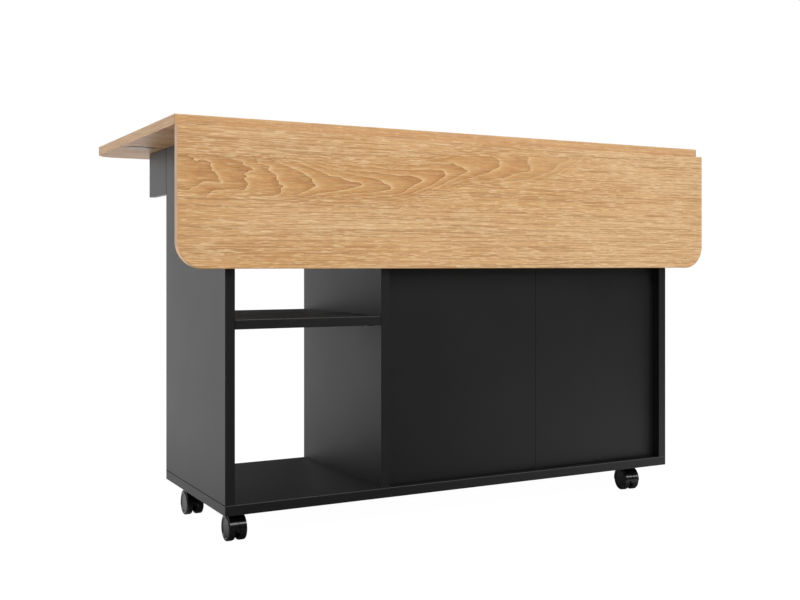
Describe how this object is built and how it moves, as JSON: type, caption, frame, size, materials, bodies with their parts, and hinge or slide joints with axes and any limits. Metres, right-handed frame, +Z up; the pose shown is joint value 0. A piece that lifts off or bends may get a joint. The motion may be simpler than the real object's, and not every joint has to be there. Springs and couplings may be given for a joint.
{
  "type": "kitchen cart",
  "caption": "Rolling kitchen island cart with an oak top, a hanging drop leaf, a raised drop leaf on swing-out arms, open shelves and a door cabinet.",
  "frame": {"origin": "on the floor, under the middle of the cart's overall box as it stands, one leaf hanging and one raised", "axes": "+X along the worktop to the closed bay's end, +Y from the hanging leaf to the raised leaf, +Z up"},
  "size_m": [1.45, 0.7828, 0.914],
  "materials": {
    "worktop_oak": "oak grain along the board, satin lacquer",
    "black_board": "black melamine face, fine wood-pore texture, satin",
    "back_panel": "thin black hardboard, satin",
    "hinge_steel": "nickel-plated pressed steel",
    "pin_steel": "plain steel",
    "screw_steel": "zinc-plated steel",
    "plate_steel": "black zinc",
    "handle_metal": "black powder coat",
    "caster_hood": "black moulded nylon, glossy",
    "caster_wheel": "dark grey moulded wheel, glossy tread"
  },
  "bodies": {
    "cabinet": {"base_board": "black_board", "left_end_panel": "black_board", "right_end_panel": "black_board", "partition": "black_board", "centre_divider": "black_board", "near_top_rail": "black_board", "far_top_rail": "black_board", "open_bay_top_rail": "black_board", "far_fascia": "black_board", "left_back_panel": "back_panel", "right_back_panel": "back_panel", "open_bay_shelf": "black_board", "left_closed_shelf": "black_board", "right_closed_shelf": "black_board", "shelf_pins": "pin_steel", "panel_screws": "screw_steel", "top_screws": "screw_steel", "main_top": "worktop_oak", "near_top_hinge_plates": "hinge_steel", "far_top_hinge_plates": "hinge_steel", "leaf_hinge_pins": "pin_steel", "arm_hinge_upright_plates": "hinge_steel", "door_hinge_frame_plates": "hinge_steel", "side_hinge_pins": "pin_steel", "caster_plates": "plate_steel", "caster_screws": "screw_steel"},
    "near_leaf": {"near_leaf": "worktop_oak", "near_leaf_hinge_plates": "hinge_steel"},
    "far_leaf": {"far_leaf": "worktop_oak", "far_leaf_hinge_plates": "hinge_steel"},
    "near_left_arm": {"near_left_support_arm": "black_board", "near_left_arm_hinge_plates": "hinge_steel"},
    "near_right_arm": {"near_right_support_arm": "black_board", "near_right_arm_hinge_plates": "hinge_steel"},
    "far_left_arm": {"far_left_support_arm": "black_board", "far_left_arm_hinge_plates": "hinge_steel"},
    "far_right_arm": {"far_right_support_arm": "black_board", "far_right_arm_hinge_plates": "hinge_steel"},
    "left_door": {"left_door": "black_board", "left_door_handle": "handle_metal", "left_door_hinge_plates": "hinge_steel"},
    "right_door": {"right_door": "black_board", "right_door_handle": "handle_metal", "right_door_hinge_plates": "hinge_steel"},
    "near_left_caster": {"near_left_caster_housing": "caster_hood", "near_left_caster_axle": "pin_steel"},
    "near_left_left_wheel": {"near_left_caster_left_wheel": "caster_wheel"},
    "near_left_right_wheel": {"near_left_caster_right_wheel": "caster_wheel"},
    "far_left_caster": {"far_left_caster_housing": "caster_hood", "far_left_caster_axle": "pin_steel"},
    "far_left_left_wheel": {"far_left_caster_left_wheel": "caster_wheel"},
    "far_left_right_wheel": {"far_left_caster_right_wheel": "caster_wheel"},
    "near_right_caster": {"near_right_caster_housing": "caster_hood", "near_right_caster_axle": "pin_steel"},
    "near_right_left_wheel": {"near_right_caster_left_wheel": "caster_wheel"},
    "near_right_right_wheel": {"near_right_caster_right_wheel": "caster_wheel"},
    "far_right_caster": {"far_right_caster_housing": "caster_hood", "far_right_caster_axle": "pin_steel"},
    "far_right_left_wheel": {"far_right_caster_left_wheel": "caster_wheel"},
    "far_right_right_wheel": {"far_right_caster_right_wheel": "caster_wheel"}
  },
  "joints": [
    {"name": "near_leaf_hinge", "type": "hinge", "parent": "cabinet", "child": "near_leaf", "pos_m": [0, -0.36938, 0.892], "axis": [-1, 0, 0], "range_deg": [0, 90]},
    {"name": "far_leaf_hinge", "type": "hinge", "parent": "cabinet", "child": "far_leaf", "pos_m": [0, 0.10212, 0.892], "axis": [1, 0, 0], "range_deg": [0, 3]},
    {"name": "near_left_arm_hinge", "type": "hinge", "parent": "cabinet", "child": "near_left_arm", "pos_m": [-0.5918, -0.36562, 0.834], "axis": [0, 0, -1], "range_deg": [0, 2]},
    {"name": "near_right_arm_hinge", "type": "hinge", "parent": "cabinet", "child": "near_right_arm", "pos_m": [0.5918, -0.36562, 0.834], "axis": [0, 0, 1], "range_deg": [0, 2]},
    {"name": "far_left_arm_hinge", "type": "hinge", "parent": "cabinet", "child": "far_left_arm", "pos_m": [-0.596, 0.08257, 0.834], "axis": [0, 0, -1], "range_deg": [0, 90]},
    {"name": "far_right_arm_hinge", "type": "hinge", "parent": "cabinet", "child": "far_right_arm", "pos_m": [0.596, 0.08257, 0.834], "axis": [0, 0, 1], "range_deg": [0, 90]},
    {"name": "left_door_hinge", "type": "hinge", "parent": "cabinet", "child": "left_door", "pos_m": [-0.2188, 0.08438, 0.43], "axis": [0, 0, 1], "range_deg": [0, 100]},
    {"name": "right_door_hinge", "type": "hinge", "parent": "cabinet", "child": "right_door", "pos_m": [0.5918, 0.08438, 0.43], "axis": [0, 0, -1], "range_deg": [0, 100]},
    {"name": "near_left_caster_swivel", "type": "hinge", "parent": "cabinet", "child": "near_left_caster", "pos_m": [-0.579, -0.30362, 0.058], "axis": [0, 0, 1], "continuous": true},
    {"name": "near_left_left_wheel_spin", "type": "hinge", "parent": "near_left_caster", "child": "near_left_left_wheel", "pos_m": [-0.579, -0.32362, 0.0275], "axis": [1, 0, 0], "continuous": true},
    {"name": "near_left_right_wheel_spin", "type": "hinge", "parent": "near_left_caster", "child": "near_left_right_wheel", "pos_m": [-0.579, -0.32362, 0.0275], "axis": [1, 0, 0], "continuous": true},
    {"name": "far_left_caster_swivel", "type": "hinge", "parent": "cabinet", "child": "far_left_caster", "pos_m": [-0.587, -0.02363, 0.058], "axis": [0, 0, 1], "continuous": true},
    {"name": "far_left_left_wheel_spin", "type": "hinge", "parent": "far_left_caster", "child": "far_left_left_wheel", "pos_m": [-0.587, -0.04362, 0.0275], "axis": [1, 0, 0], "continuous": true},
    {"name": "far_left_right_wheel_spin", "type": "hinge", "parent": "far_left_caster", "child": "far_left_right_wheel", "pos_m": [-0.587, -0.04362, 0.0275], "axis": [1, 0, 0], "continuous": true},
    {"name": "near_right_caster_swivel", "type": "hinge", "parent": "cabinet", "child": "near_right_caster", "pos_m": [0.522, -0.30362, 0.058], "axis": [0, 0, 1], "continuous": true},
    {"name": "near_right_left_wheel_spin", "type": "hinge", "parent": "near_right_caster", "child": "near_right_left_wheel", "pos_m": [0.51956, -0.32348, 0.0275], "axis": [0.9925, -0.1219, 0], "continuous": true},
    {"name": "near_right_right_wheel_spin", "type": "hinge", "parent": "near_right_caster", "child": "near_right_right_wheel", "pos_m": [0.51956, -0.32348, 0.0275], "axis": [0.9925, -0.1219, 0], "continuous": true},
    {"name": "far_right_caster_swivel", "type": "hinge", "parent": "cabinet", "child": "far_right_caster", "pos_m": [0.522, -0.02363, 0.058], "axis": [0, 0, 1], "continuous": true},
    {"name": "far_right_left_wheel_spin", "type": "hinge", "parent": "far_right_caster", "child": "far_right_left_wheel", "pos_m": [0.52616, -0.04319, 0.0275], "axis": [0.9781, 0.2079, 0], "continuous": true},
    {"name": "far_right_right_wheel_spin", "type": "hinge", "parent": "far_right_caster", "child": "far_right_right_wheel", "pos_m": [0.52616, -0.04319, 0.0275], "axis": [0.9781, 0.2079, 0], "continuous": true}
  ]
}
